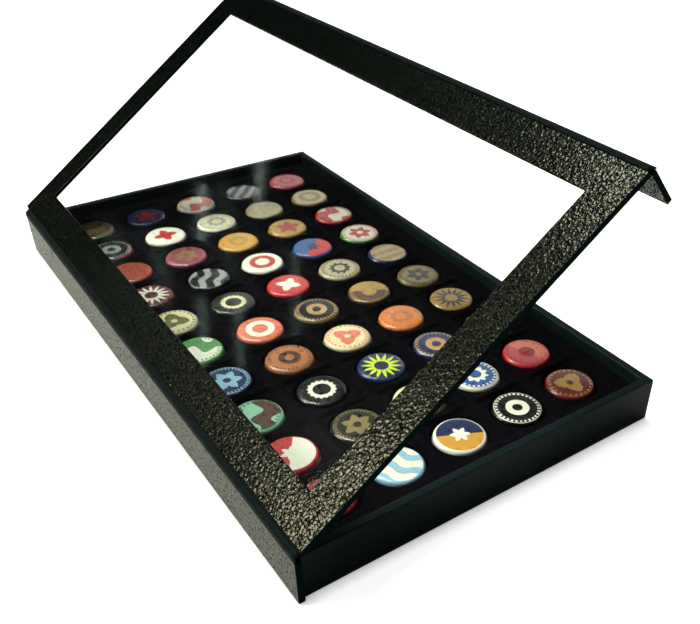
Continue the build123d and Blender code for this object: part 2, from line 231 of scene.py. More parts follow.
# The collection, row by row from the near end, each row from the flap side to the
# hinge side: design, ground, ink, accent and rim
COLLECTION = (
    (("trefoil", "maroon", "gold", "gold", "maroon"), ("marks", "black", "white", "black", "black"),
     ("halves", "yellow", "white", "navy", "white"), ("waves", "white", "tan", "sky", "sky"),
     ("petals", "crimson", "maroon", "red", "maroon")),
    (("band", "salmon", "crimson", "pink", "red"), ("rosette", "blue", "white", "white", "white"),
     ("cog", "cream", "tan", "brown", "cream"), ("petals", "black", "brass", "brass", "black"),
     ("halves", "white", "white", "red", "red")),
    (("target", "cream", "beige", "yellow", "cream"), ("marks", "navy", "tan", "tan", "navy"),
     ("rays", "navy", "lime", "lime", "navy"), ("cog", "black", "white", "black", "black"),
     ("swell", "mint", "brown", "brown", "mint")),
    (("rays", "gold", "black", "gold", "black"), ("rosette", "orange", "copper", "cream", "orange"),
     ("trefoil", "cream", "salmon", "red", "cream"), ("marks", "copper", "brown", "copper", "copper"),
     ("petals", "navy", "sky", "navy", "navy")),
    (("petals", "brass", "charcoal", "brass", "brass"), ("band", "brown", "gold", "gold", "brown"),
     ("marks", "black", "tan", "tan", "brass"), ("target", "salmon", "white", "orange", "salmon"),
     ("swell", "white", "green", "green", "green")),
    (("stripes", "gold", "navy", "beige", "navy"), ("rosette", "beige", "charcoal", "cream", "beige"),
     ("clover", "red", "white", "white", "red"), ("cog", "charcoal", "cream", "red", "charcoal"),
     ("trefoil", "cream", "olive", "white", "cream")),
    (("petals", "white", "red", "red", "green"), ("halves", "blue", "navy", "red", "blue"),
     ("target", "white", "red", "salmon", "white"), ("waves", "black", "black", "grey", "black"),
     ("rays", "maroon", "white", "maroon", "maroon")),
    (("swell", "red", "crimson", "white", "red"), ("star", "gold", "crimson", "brass", "gold"),
     ("marks", "yellow", "gold", "brown", "yellow"), ("petals", "magenta", "brass", "brass", "magenta"),
     ("plain", "rust", "red", "red", "rust")),
    (("target", "cream", "tan", "beige", "tan"), ("plain", "beige", "brass", "beige", "beige"),
     ("rosette", "cream", "grey", "yellow", "white"), ("clover", "white", "red", "red", "white"),
     ("marks", "black", "grey", "grey", "pink")),
    (("rosette", "pink", "crimson", "crimson", "pink"), ("stripes", "charcoal", "white", "grey", "charcoal"),
     ("swell", "white", "salmon", "salmon", "white"), ("star", "navy", "crimson", "red", "navy"),
     ("waves", "olive", "brown", "brown", "olive")),
)


def colour(code):
    """Linear RGBA of an sRGB hex code."""
    parts = [int(code[i:i + 2], 16) / 255 for i in (0, 2, 4)]
    return [*(c / 12.92 if c <= 0.04045 else ((c + 0.055) / 1.055) ** 2.4 for c in parts), 1.0]


def tint(name, description, code):
    """A colour property with an sRGB hex default."""
    return FloatVectorProperty(
        name=name, description=description, default=colour(code), size=4, subtype="COLOR", min=0, max=1
    )


def length(name, description, default):
    """A length property, in metres."""
    return FloatProperty(
        name=name, description=description, default=default, min=0, unit="LENGTH", subtype="DISTANCE"
    )


def share(name, description, default):
    """A property that runs from 0 to 1."""
    return FloatProperty(
        name=name, description=description, default=default, min=0, max=1, subtype="FACTOR"
    )


class StudioSettings(PropertyGroup):
    """Floor, lamps and surroundings."""

    floor_colour: tint("Floor", "Colour of the pale floor", "EDEDEB")
    floor_size: length("Floor Size", "Width of the floor", 14.0)
    # The contact shadow is painted: the floor's glow fades over this width near the case
    contact: length("Contact Shadow", "Width of the shadow at the foot of the case", 7 * MM)
    floor_glow: share("Floor Glow", "Light that lifts the seen floor to white", 0.9)
    side_power: FloatProperty(name="Side Lamp", description="Light of the low warm lamp", default=1.6)
    side_colour: tint("Side Colour", "Colour of the low warm lamp", "FDF8E0")
    top_power: FloatProperty(name="Top Lamp", description="Light of the high lamp", default=1.6)
    top_colour: tint("Top Colour", "Colour of the high lamp", "FBFFF0")
    lamp_angle: FloatProperty(
        name="Lamp Angle", description="Breadth of the two lamps", default=radians(24), unit="ROTATION"
    )
    tube_power: FloatProperty(name="Tube Lamps", description="Light of each tube lamp", default=0.13)
    tube_colour: tint("Tube Colour", "Colour of the tube lamps", "E6FFF2")
    back_power: FloatProperty(name="Pale Wall", description="Light of the pale wall", default=7.0)
    back_colour: tint("Wall Colour", "Colour of the pale wall", "F4F2EA")
    room_colour: tint("Room Colour", "Colour of the dim room round the case", "D2DADF")
    room_light: share("Room Light", "Strength of the dim room's light", 0.12)
    room_gloss: share("Room Gloss", "Share of the floor's lift that gloss shows", 0.03)


class LeatheretteSettings(PropertyGroup):
    """Coated paper cloth on the lid, walls, spine and hinges."""

    pebble_colour: tint("Pebble", "Colour of the lid cover's pebbles", "0D1310")
    # The crack colour is painted shade for the recesses between the pebbles
    crack_shade_colour: tint("Crack", "Colour of the cracks between pebbles", "030404")
    pebble_size: length("Pebble Size", "Width of one pebble of the lid's grain", 1.65 * MM)
    pebble_depth: length("Pebble Depth", "Depth of the cracks", 0.03 * MM)
    gloss_tint: tint("Pebble Gloss", "Tint of the pebbles' gloss", "FFFFE6")
    pebble_roughness: share("Pebble Roughness", "Roughness of the pebbles' gloss", 0.045)
    wall_colour: tint("Wall", "Colour of the fine leatherette", "08181B")
    grain_size: length("Fine Grain", "Width of the fine leatherette's grain", 0.7 * MM)
    grain_depth: length("Fine Depth", "Depth of the fine leatherette's grain", 0.05 * MM)
    lining_colour: tint("Lining", "Colour of the lid's and flap's lining", "262421")
    stock: length("Stock", "Thickness of the leatherette", 0.35 * MM)
    rim_round: length("Rim Round", "Rounding of the rim under the leatherette", 0.7 * MM)
    wrinkle: length("Wrinkle", "Height of the small wrinkles along the rim", 0.12 * MM)
    hinge_stock: length("Hinge Stock", "Thickness of the hinge strips", 0.7 * MM)


class VelvetSettings(PropertyGroup):
    """Velvet covered insert."""

    pile_colour: tint("Pile", "Colour of the pile", "030206")
    lit_colour: tint("Lit Pile", "Colour of pile brushed towards the light", "07060C")
    sheen_colour: tint("Sheen", "Colour of the pile's sheen", "2E2A40")
    pile_size: length("Pile", "Spacing of the pile's tufts", 0.45 * MM)
    nest_depth: length("Nest Depth", "How deep a cap sinks into the padding", 5.3 * MM)
    nest_room: length("Nest Room", "Room round a cap in its nest", 0.1 * MM)
    long_roll: length("Long Rolls", "Half the width of the rolls along the case", 3.2 * MM)
    cross_roll: length("Cross Rolls", "Half the width of the rolls across the case", 2.2 * MM)
    pinch: length("Pinch", "How far the rolls sink where they cross", 0.6 * MM)
    unevenness: length("Unevenness", "Unevenness of the padding", 0.16 * MM)


class CapSettings(PropertyGroup):
    """Crown caps."""

    shoulder_diameter: length("Shoulder", "Diameter of a cap's shoulder", 26.7 * MM)
    corner: length("Corner", "Rounding of the shoulder", 2.0 * MM)
    dome: length("Dome", "Rise of the cap's top", 0.15 * MM)
    flute_depth: length("Flute Depth", "Depth of the flutes at the skirt's edge", 1.1 * MM)
    metal: length("Metal", "Thickness of the tinplate", 0.3 * MM)
    flutes: IntProperty(name="Flutes", description="Number of flutes round the skirt", default=21, min=3)
    seed: IntProperty(name="Seed", description="Which way round each cap lies", default=4)


class DisplayCaseSettings(PropertyGroup):
    """All the case's settings."""

    studio: PointerProperty(type=StudioSettings)
    leatherette: PointerProperty(type=LeatheretteSettings)
    velvet: PointerProperty(type=VelvetSettings)
    caps: PointerProperty(type=CapSettings)


def add(tree, kind, inputs=(), **settings):
    """Add a node with its settings. inputs, in order or by name, are constants, sockets or other nodes."""
    node = tree.nodes.new(kind)
    for name, value in settings.items():
        setattr(node, name, value)
    for key, value in inputs.items() if isinstance(inputs, dict) else enumerate(inputs):
        if isinstance(value, bpy.types.Node):
            value = value.outputs[0]
        if isinstance(value, bpy.types.NodeSocket):
            tree.links.new(value, node.inputs[key])
        else:
            node.inputs[key].default_value = value
    return node


def begin_material(name):
    """An empty node material, and its tree."""
    material = bpy.data.materials.new(name)
    material.use_nodes = True
    material.node_tree.nodes.clear()
    return material, material.node_tree


def end_material(tree, shader):
    """Show a shader's first output on the surface."""
    add(tree, "ShaderNodeOutputMaterial", {"Surface": shader.outputs[0]})


def grain(tree, size, warp, ragged):
    """How far a place lies from a crackled grain's cracks, in pebbles, and the place itself.

    size is a pebble's width. A noise a little finer than that bends the cracks by warp and
    breaks their edges up by ragged."""
    place = add(tree, "ShaderNodeTexCoord").outputs["Object"]
    drift = add(tree, "ShaderNodeTexNoise", {"Vector": place, "Scale": 1.2 / size, "Detail": 3.0})
    centred = add(
        tree, "ShaderNodeVectorMath", {0: drift.outputs["Color"], 1: (0.5, 0.5, 0.5)}, operation="SUBTRACT"
    )
    moved = add(
        tree, "ShaderNodeVectorMath", {0: centred, 1: (warp * size,) * 3, 2: place}, operation="MULTIPLY_ADD"
    )
    cells = {"Vector": moved, "Scale": 1 / size}
    edge = add(tree, "ShaderNodeTexVoronoi", cells, feature="DISTANCE_TO_EDGE")
    broken = add(tree, "ShaderNodeMath", (drift, ragged, edge), operation="MULTIPLY_ADD")
    return add(tree, "ShaderNodeMath", (broken, 0.5 * ragged), operation="SUBTRACT"), place


def pebble_material(name, settings, size, relief):
    """PU coated leatherette, embossed with a coarse crackled grain.

    The rollers leave glossy pebbles with cracks between them; the cracks are painted shade,
    matt black without gloss. Their tops mirror the lamp near its mirror image, and their
    rounded flanks throw a few sparks elsewhere.
    size is a pebble's width, and relief is the share of the grain that handling left."""
    material, tree = begin_material(name)
    gap, place = grain(tree, size, warp=1.0, ragged=0.4)
    flank = {"Value": gap, "From Max": PEBBLE_FLANK}
    height = add(tree, "ShaderNodeMapRange", flank, interpolation_type="SMOOTHSTEP")
    folds = {"Vector": place, "Scale": CRUMPLE_FOLDS / size, "Detail": 1.0}
    crumple = add(tree, "ShaderNodeTexNoise", folds)
    total = add(tree, "ShaderNodeMath", (crumple, CRUMPLE_HEIGHT, height), operation="MULTIPLY_ADD")
    depth = settings.pebble_depth * relief
    bump = add(tree, "ShaderNodeBump", {"Height": total, "Distance": depth, "Strength": 1.0})
    pebble = add(
        tree,
        "ShaderNodeBsdfPrincipled",
        {
            "Base Color": settings.pebble_colour,
            "Roughness": settings.pebble_roughness,
            "Specular IOR Level": 0.42,
            "Specular Tint": settings.gloss_tint,
            "Normal": bump,
        },
    )
    # The ends, where the cloth is folded over the board's edge, get painted shade: faces turned
    # along the case take the dark wall colour, matt and without gloss
    normal = add(tree, "ShaderNodeNewGeometry").outputs["True Normal"]
    facing = add(tree, "ShaderNodeSeparateXYZ", (normal,)).outputs["X"]
    along = add(tree, "ShaderNodeMath", (facing,), operation="ABSOLUTE")
    kept = add(tree, "ShaderNodeMath", (along, END_FACING), operation="LESS_THAN")
    painted_shade_colour = add(
        tree,
        "ShaderNodeMix",
        {"Factor": kept, "A": settings.wall_colour, "B": settings.crack_shade_colour},
        data_type="RGBA",
    )
    # Painted shade: the cracks and the ends get this dark, matt finish without gloss
    crack = add(
        tree,
        "ShaderNodeBsdfPrincipled",
        {
            "Base Color": painted_shade_colour.outputs["Result"],
            "Roughness": 0.9,
            "Specular IOR Level": 0.02,
            "Normal": bump,
        },
    )
    full = GLOSS_START + GLOSS_SPREAD * relief
    raised = add(
        tree,
        "ShaderNodeMapRange",
        {"Value": gap, "From Min": GLOSS_START, "From Max": full},
        interpolation_type="SMOOTHSTEP",
    )
    glossy = add(tree, "ShaderNodeMath", (raised, kept), operation="MULTIPLY")
    end_material(tree, add(tree, "ShaderNodeMixShader", (glossy, crack, pebble)))
    return material


def fine_material(name, settings, code, roughness, gloss, relief):
    """PU coated leatherette with a fine grain, glued over board.

    It is nearly smooth, so it shows a soft grey gloss at a low angle and is a green black
    from the front; the glue leaves faint waves. relief multiplies the grain's depth."""
    material, tree = begin_material(name)
    gap, place = grain(tree, settings.grain_size, warp=0.8, ragged=0.3)
    flank = {"Value": gap, "From Max": FINE_FLANK}
    height = add(tree, "ShaderNodeMapRange", flank, interpolation_type="SMOOTHSTEP")
    waves = add(tree, "ShaderNodeTexNoise", {"Vector": place, "Scale": 1 / GLUE_WAVE, "Detail": 4.0})
    total = add(tree, "ShaderNodeMath", (waves, GLUE_WAVE_HEIGHT, height), operation="MULTIPLY_ADD")
    depth = settings.grain_depth * relief
    bump = add(tree, "ShaderNodeBump", {"Height": total, "Distance": depth, "Strength": 1.0})
    # Painted shade and highlight: the base colour is darkened in the grain's cracks and lightened on its
    # tops
    painted_grain_shading = add(tree, "ShaderNodeMapRange", {"Value": height, "To Min": CRACK_SHADE, "To Max": TOP_SHADE})
    base = add(tree, "ShaderNodeVectorMath", {0: code[:3], "Scale": painted_grain_shading}, operation="SCALE")
    shader = add(
        tree,
        "ShaderNodeBsdfPrincipled",
        {"Base Color": base, "Roughness": roughness, "Specular IOR Level": gloss, "Normal": bump},
    )
    end_material(tree, shader)
    return material


def velvet_material(settings):
    """Black flocked velvet: fibres standing on a cloth.

    The fibres swallow light from above and catch it at their tips at a low angle, with
    patches brushed one way or another, whose lighter pile is a painted sheen."""
    material, tree = begin_material("flocked_velvet")
    place = add(tree, "ShaderNodeTexCoord").outputs["Object"]
    patches = {"Vector": place, "Scale": 1 / BRUSHED_PATCH, "Detail": 3.0}
    brushed = add(tree, "ShaderNodeTexNoise", patches)
    pile = {"Vector": place, "Scale": 1 / settings.pile_size, "Detail": 2.0}
    tufts = add(tree, "ShaderNodeTexNoise", pile)
    # Painted sheen: the brushed patches mix in the lit pile's lighter colour
    base = add(
        tree,
        "ShaderNodeMix",
        {"Factor": brushed, "A": settings.pile_colour, "B": settings.lit_colour},
        data_type="RGBA",
    )
    bump = add(tree, "ShaderNodeBump", {"Height": tufts, "Distance": TUFT_HEIGHT, "Strength": 0.8})
    shader = add(
        tree,
        "ShaderNodeBsdfPrincipled",
        {
            "Base Color": base.outputs["Result"],
            "Roughness": 0.95,
            "Specular IOR Level": 0.05,
            "Sheen Weight": 0.04,
            "Sheen Roughness": 0.45,
            "Sheen Tint": settings.sheen_colour,
            "Normal": bump,
        },
    )
    end_material(tree, shader)
    return material


def print_material():
    """Tinplate, printed in flat inks under a clear stoving varnish.

    The varnish makes a sharp gloss over even colour; the design is drawn from each cap's own
    attributes, in parts of the shoulder radius."""
    material, tree = begin_material("printed_tinplate")
    uv = add(tree, "ShaderNodeUVMap", uv_map="face")
    centred = add(
        tree, "ShaderNodeVectorMath", {0: uv, 1: (2, 2, 0), 2: (-1, -1, 0)}, operation="MULTIPLY_ADD"
    )
    radius = add(tree, "ShaderNodeVectorMath", (centred,), operation="LENGTH").outputs["Value"]
    axes = add(tree, "ShaderNodeSeparateXYZ", (centred,)).outputs
    angle = add(tree, "ShaderNodeMath", (axes["Y"], axes["X"]), operation="ARCTAN2")
    values, inks = [], {}
    for name in DESIGN_PARTS:
        attribute = add(tree, "ShaderNodeAttribute", attribute_name=name)
        values.append(add(tree, "ShaderNodeSeparateXYZ", (attribute.outputs["Vector"],)).outputs)
    for name in INK_PARTS:
        inks[name] = add(tree, "ShaderNodeAttribute", attribute_name=name).outputs["Color"]
    motif, stripes, rim = values

    # The motif's outline swings in and out round the cap
    turns = add(tree, "ShaderNodeMath", (angle, motif["Z"]), operation="MULTIPLY")
    swing = add(tree, "ShaderNodeMath", (turns, pi), operation="PINGPONG")
    dent = add(tree, "ShaderNodeMath", (swing, motif["Y"]), operation="MULTIPLY")
    reach = add(tree, "ShaderNodeMath", (dent, -1 / pi, 1.0), operation="MULTIPLY_ADD")
    outline = add(tree, "ShaderNodeMath", (reach, motif["X"]), operation="MULTIPLY")
    in_motif = add(tree, "ShaderNodeMath", (radius, outline), operation="LESS_THAN")
    in_eye = add(tree, "ShaderNodeMath", (radius, rim["Z"]), operation="LESS_THAN")

    # Stripes cross the field, straight or waved
    sway = add(tree, "ShaderNodeMath", (axes["X"], WAVE_SWAYS), operation="MULTIPLY")
    sway = add(tree, "ShaderNodeMath", (sway,), operation="SINE")
    level = add(tree, "ShaderNodeMath", (sway, stripes["Y"], axes["Y"]), operation="MULTIPLY_ADD")
    level = add(tree, "ShaderNodeMath", (level, stripes["X"]), operation="MULTIPLY")
    level = add(tree, "ShaderNodeMath", (level,), operation="SINE")
    limit = add(tree, "ShaderNodeMath", (stripes["Z"], -2.0, 1.0), operation="MULTIPLY_ADD")
    in_stripe = add(tree, "ShaderNodeMath", (level, limit), operation="GREATER_THAN")

    # A rim ring, and a thin line and a ring of marks inside it
    in_rim = add(tree, "ShaderNodeMath", (radius, rim["X"]), operation="GREATER_THAN")
    inside = add(tree, "ShaderNodeMath", (rim["X"], radius), operation="SUBTRACT")
    marked = add(tree, "ShaderNodeMath", (rim["Y"], 0.5), operation="GREATER_THAN")
    line = add(tree, "ShaderNodeMath", (inside, LINE_INSET, LINE_HALF), operation="COMPARE")
    in_line = add(tree, "ShaderNodeMath", (line, marked), operation="MULTIPLY")
    beat = add(tree, "ShaderNodeMath", (angle, rim["Y"]), operation="MULTIPLY")
    beat = add(tree, "ShaderNodeMath", (beat,), operation="SINE")
    beat = add(tree, "ShaderNodeMath", (beat, 0.1), operation="GREATER_THAN")
    ring = add(tree, "ShaderNodeMath", (inside, MARK_INSET, MARK_HALF), operation="COMPARE")
    in_mark = add(tree, "ShaderNodeMath", (ring, beat), operation="MULTIPLY")

    shown = inks["ground"]
    layers = (
        (in_stripe, "accent"),
        (in_motif, "ink"),
        (in_eye, "ground"),
        (in_mark, "ink"),
        (in_line, "ink"),
        (in_rim, "edge"),
    )
    for mask, name in layers:
        shown = add(
            tree, "ShaderNodeMix", {"Factor": mask, "A": shown, "B": inks[name]}, data_type="RGBA"
        ).outputs["Result"]

    place = add(tree, "ShaderNodeTexCoord").outputs["Object"]
    handling = add(tree, "ShaderNodeTexNoise", {"Vector": place, "Scale": 1 / (3 * MM), "Detail": 3.0})
    roughness = add(
        tree,
        "ShaderNodeMapRange",
        {"Value": handling, "From Min": 0.35, "From Max": 0.7, "To Min": 0.26, "To Max": 0.36},
    )
    bump = add(tree, "ShaderNodeBump", {"Height": handling, "Distance": 0.008 * MM, "Strength": 0.5})
    shader = add(
        tree,
        "ShaderNodeBsdfPrincipled",
        {
            "Base Color": shown,
            "Roughness": roughness,
            "Coat Weight": 0.6,
            "Coat Roughness": 0.08,
            "Normal": bump,
        },
    )
    end_material(tree, shader)
    return material


def plain_metal(name, code, roughness, speck):
    """Bare or plated metal, with the faint cloud that handling and rolling leave in its gloss."""
    material, tree = begin_material(name)
    place = add(tree, "ShaderNodeTexCoord").outputs["Object"]
    cloud = add(tree, "ShaderNodeTexNoise", {"Vector": place, "Scale": 1 / speck, "Detail": 4.0})
    blurred = add(
        tree,
        "ShaderNodeMapRange",
        {"Value": cloud, "To Min": 0.7 * roughness, "To Max": 1.3 * roughness},
    )
    shader = add(
        tree,
        "ShaderNodeBsdfPrincipled",
        {"Base Color": colour(code), "Metallic": 1.0, "Roughness": blurred},
    )
    end_material(tree, shader)
    return material


def fibrous_material(name, dark, light, speck, depth, roughness):
    """Board, paper, foam or liner: a matt body mottled by fibres or cells of one size."""
    material, tree = begin_material(name)
    place = add(tree, "ShaderNodeTexCoord").outputs["Object"]
    fibres = add(tree, "ShaderNodeTexNoise", {"Vector": place, "Scale": 1 / speck, "Detail": 6.0})
    base = add(
        tree,
        "ShaderNodeMix",
        {"Factor": fibres, "A": colour(dark), "B": colour(light)},
        data_type="RGBA",
    )
    bump = add(tree, "ShaderNodeBump", {"Height": fibres, "Distance": depth, "Strength": 1.0})
    shader = add(
        tree,
        "ShaderNodeBsdfPrincipled",
        {
            "Base Color": base.outputs["Result"],
            "Roughness": roughness,
            "Specular IOR Level": 0.3,
            "Normal": bump,
        },
    )
    end_material(tree, shader)
    return material


def pane_material():
    """Clear picture glass with a low-reflection coat, which its low IOR stands for.

    It is all but unseen over the white floor and shows lamps as faint streaks over the dark
    insert. Lamp light passes straight through it, so the insert stays lit."""
    material, tree = begin_material("clear_picture_glass")
    glass = add(
        tree,
        "ShaderNodeBsdfPrincipled",
        {
            "Base Color": colour("FCFFFE"),
            "Roughness": 0.05,
            "IOR": 1.1,
            "Transmission Weight": 1.0,
        },
    )
    lamp = add(tree, "ShaderNodeBsdfTransparent", {"Color": colour("FCFFFE")})
    path = add(tree, "ShaderNodeLightPath")
    end_material(tree, add(tree, "ShaderNodeMixShader", (path.outputs["Is Shadow Ray"], glass, lamp)))
    return material


def seen_straight(tree):
    """1 for what the camera sees, also through glass, and 0 for light that has bounced."""
    path = add(tree, "ShaderNodeLightPath").outputs
    bounces = add(tree, "ShaderNodeMath", (path["Diffuse Depth"], path["Glossy Depth"]), operation="ADD")
    straight = add(tree, "ShaderNodeMath", (bounces, 0.5), operation="LESS_THAN")
    through = add(tree, "ShaderNodeMath", (path["Is Transmission Ray"], straight), operation="MULTIPLY")
    return add(tree, "ShaderNodeMath", (path["Is Camera Ray"], through), operation="MAXIMUM")


def finish_node(material, *names):
    """Give CAD nodes one finish."""
    for name in names:
        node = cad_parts[name]
        if not node.material_slots:
            node.data.materials.append(material)
        for slot in node.material_slots:
            slot.material = material


def mesh_object(name, points, faces, material):
    """A smooth shaded mesh object at the origin, in metres."""
    mesh = bpy.data.meshes.new(name)
    mesh.from_pydata([tuple(p) for p in points], [], faces)
    mesh.validate()
    mesh.materials.append(material)
    mesh.shade_smooth()
    made = bpy.data.objects.new(name, mesh)
    bpy.context.scene.collection.objects.link(made)
    return made


def grid_faces(rows, columns, closed_rows=False, closed_columns=False):
    """Quads over rows x columns points, joined up at the ends where closed."""
    return [
        (
            r * columns + c,
            r * columns + (c + 1) % columns,
            (r + 1) % rows * columns + (c + 1) % columns,
            (r + 1) % rows * columns + c,
        )
        for r in range(rows if closed_rows else rows - 1)
        for c in range(columns if closed_columns else columns - 1)
    ]


def ripple(x, y, z, size):
    """Smooth noise between about -1 and 1, whose bumps have that size."""
    return noise.noise(Vector((x, y, z)) / size)


class DISPLAYCASE_OT_studio(Operator):
    """Pale floor, soft lamps and the photograph's camera"""

    bl_idname = "display_case.studio"
    bl_label = "Studio"

    def execute(self, context):
        settings = context.scene.display_case.studio
        self.build_floor(settings)
        self.build_world(context.scene, settings)
        self.build_lamps(settings)
        self.build_camera(context.scene)
        context.scene.view_settings.view_transform = "Standard"
        return {"FINISHED"}

    def build_floor(self, settings):
        """A matt sheet, lifted to white where it is seen, that keeps the case's shadow; the lift fades near
        the case's foot, a painted contact shadow.
        """
        material, tree = begin_material("matt_white_floor")
        path = add(tree, "ShaderNodeLightPath").outputs
        shown = add(
            tree,
            "ShaderNodeMath",
            (path["Is Glossy Ray"], settings.room_gloss, seen_straight(tree)),
            operation="MULTIPLY_ADD",
            use_clamp=True,
        )
        # Painted contact shadow: the lift to white fades where the case stands near
        foot = add(
            tree, "ShaderNodeAmbientOcclusion", {"Distance": settings.contact}, samples=8
        ).outputs["AO"]
        lift = add(tree, "ShaderNodeMath", (foot, settings.floor_glow), operation="MULTIPLY")
        glow = add(tree, "ShaderNodeMath", (shown, lift), operation="MULTIPLY")
        sheet = add(
            tree,
            "ShaderNodeBsdfPrincipled",
            {
                "Base Color": settings.floor_colour,
                "Roughness": 0.9,
                "Specular IOR Level": 0.0,
                "Emission Color": (1, 1, 1, 1),
                "Emission Strength": glow,
            },
        )
        end_material(tree, sheet)
        half = settings.floor_size / 2
        corners = [(-half, -half, 0), (half, -half, 0), (half, half, 0), (-half, half, 0)]
        mesh_object("floor", corners, [(0, 1, 2, 3)], material)

    def build_world(self, scene, settings):
        """White behind the case, and a dim room everywhere else."""
        world = bpy.data.worlds.new("studio")
        scene.world = world
        world.use_nodes = True
        tree = world.node_tree
        tree.nodes.clear()
        seen = seen_straight(tree)
        strength = add(tree, "ShaderNodeMix", {"Factor": seen, "A": settings.room_light, "B": 1.0})
        shade = add(
            tree,
            "ShaderNodeMix",
            {"Factor": seen, "A": settings.room_colour, "B": (1, 1, 1, 1)},
            data_type="RGBA",
        )
        room = add(
            tree, "ShaderNodeBackground", {"Color": shade.outputs["Result"], "Strength": strength}
        )
        add(tree, "ShaderNodeOutputWorld", (room,))
        # The room is too dim to show in gloss
        world.cycles_visibility.glossy = False

    def build_lamps(self, settings):
        """Two soft lamps, a pale wall, and far tube lamps that gloss shows as streaks."""
        for name, place in (("side", SIDE_LAMP), ("top", TOP_LAMP)):
            lamp = bpy.data.lights.new(f"{name}_lamp", "SUN")
            lamp.energy = getattr(settings, f"{name}_power")
            lamp.angle = settings.lamp_angle
            lamp.color = getattr(settings, f"{name}_colour")[:3]
            self.hang(lamp, *place)
        tubes = [(*place, TUBE_HEIGHT) for place in TUBE_LAMPS]
        for name, places in (("tube", tubes), ("back", [BACK_LAMP])):
            for azimuth, elevation, breadth, height in places:
                lamp = bpy.data.lights.new(f"{name}_lamp", "AREA")
                lamp.shape = "RECTANGLE"
                lamp.size = LAMP_DISTANCE * radians(breadth)
                lamp.size_y = LAMP_DISTANCE * radians(height)
                lamp.energy = getattr(settings, f"{name}_power")
                lamp.color = getattr(settings, f"{name}_colour")[:3]
                self.hang(lamp, azimuth, elevation)

    def hang(self, lamp, azimuth, elevation):
        """Place a lamp round the case, turned to it."""
        turn, lift = radians(azimuth), radians(elevation)
        towards = Vector((cos(turn) * cos(lift), sin(turn) * cos(lift), sin(lift)))
        holder = bpy.data.objects.new(lamp.name, lamp)
        holder.location = towards * LAMP_DISTANCE
        holder.rotation_mode = "QUATERNION"
        holder.rotation_quaternion = towards.to_track_quat("Z", "Y")
        bpy.context.scene.collection.objects.link(holder)

    def build_camera(self, scene):
        """The photograph's camera."""
        camera = bpy.data.cameras.new("camera")
        camera.sensor_fit = "HORIZONTAL"
        camera.sensor_width = 36.0
        camera.lens = CAMERA_LENS
        camera.shift_x, camera.shift_y = CAMERA_SHIFT
        back = -Vector(CAMERA_AIM).normalized()
        right = Vector(CAMERA_RIGHT)
        right = (right - right.project(back)).normalized()
        turned = Matrix((right, back.cross(right), back)).transposed().to_4x4()
        holder = bpy.data.objects.new("camera", camera)
        holder.matrix_world = Matrix.Translation(CAMERA_PLACE) @ turned
        scene.collection.objects.link(holder)
        scene.camera = holder


class DISPLAYCASE_OT_boards(Operator):
    """Greyboard, paper, steel and pane that the covers hold"""

    bl_idname = "display_case.boards"
    bl_label = "Boards And Pane"

    def execute(self, context):
        # Greyboard is pressed from waste paper: matt, mottled and fibrous
        board = fibrous_material(
            "greyboard", "6E6962", "8C867C", speck=1.2 * MM, depth=0.05 * MM, roughness=0.9
        )
        walls = ("front_wall", "back_wall", "near_end_wall", "far_end_wall")
        finish_node(board, "tray_floor", "spine_board", "lid_board", "lid_spacer", "flap_board", *walls)
        # Uncoated black base paper is matt, with a short fibre
        paper = fibrous_material(
            "black_paper", "0C0D0E", "1A1B1C", speck=0.8 * MM, depth=0.04 * MM, roughness=0.85
        )
        finish_node(paper, "base_paper")
        # The seals are punched from foamed polyethylene sheet: soft, milky and matt
        seal = fibrous_material(
            "foamed_seal", "B9BAB4", "D6D6D0", speck=0.5 * MM, depth=0.02 * MM, roughness=0.55
        )
        finish_node(seal, "cap_seals")
        # Zinc plate is a dull grey, and nickel plate warmer and brighter
        steel = plain_metal("zinc_plated_steel", "9A9C9E", roughness=0.32, speck=3 * MM)
        finish_node(steel, "wall_keepers")
        magnet = plain_metal("nickel_plated_magnet", "B4B0A6", roughness=0.2, speck=2 * MM)
        finish_node(magnet, "flap_magnets")
        finish_node(pane_material(), "lid_glass")
        return {"FINISHED"}


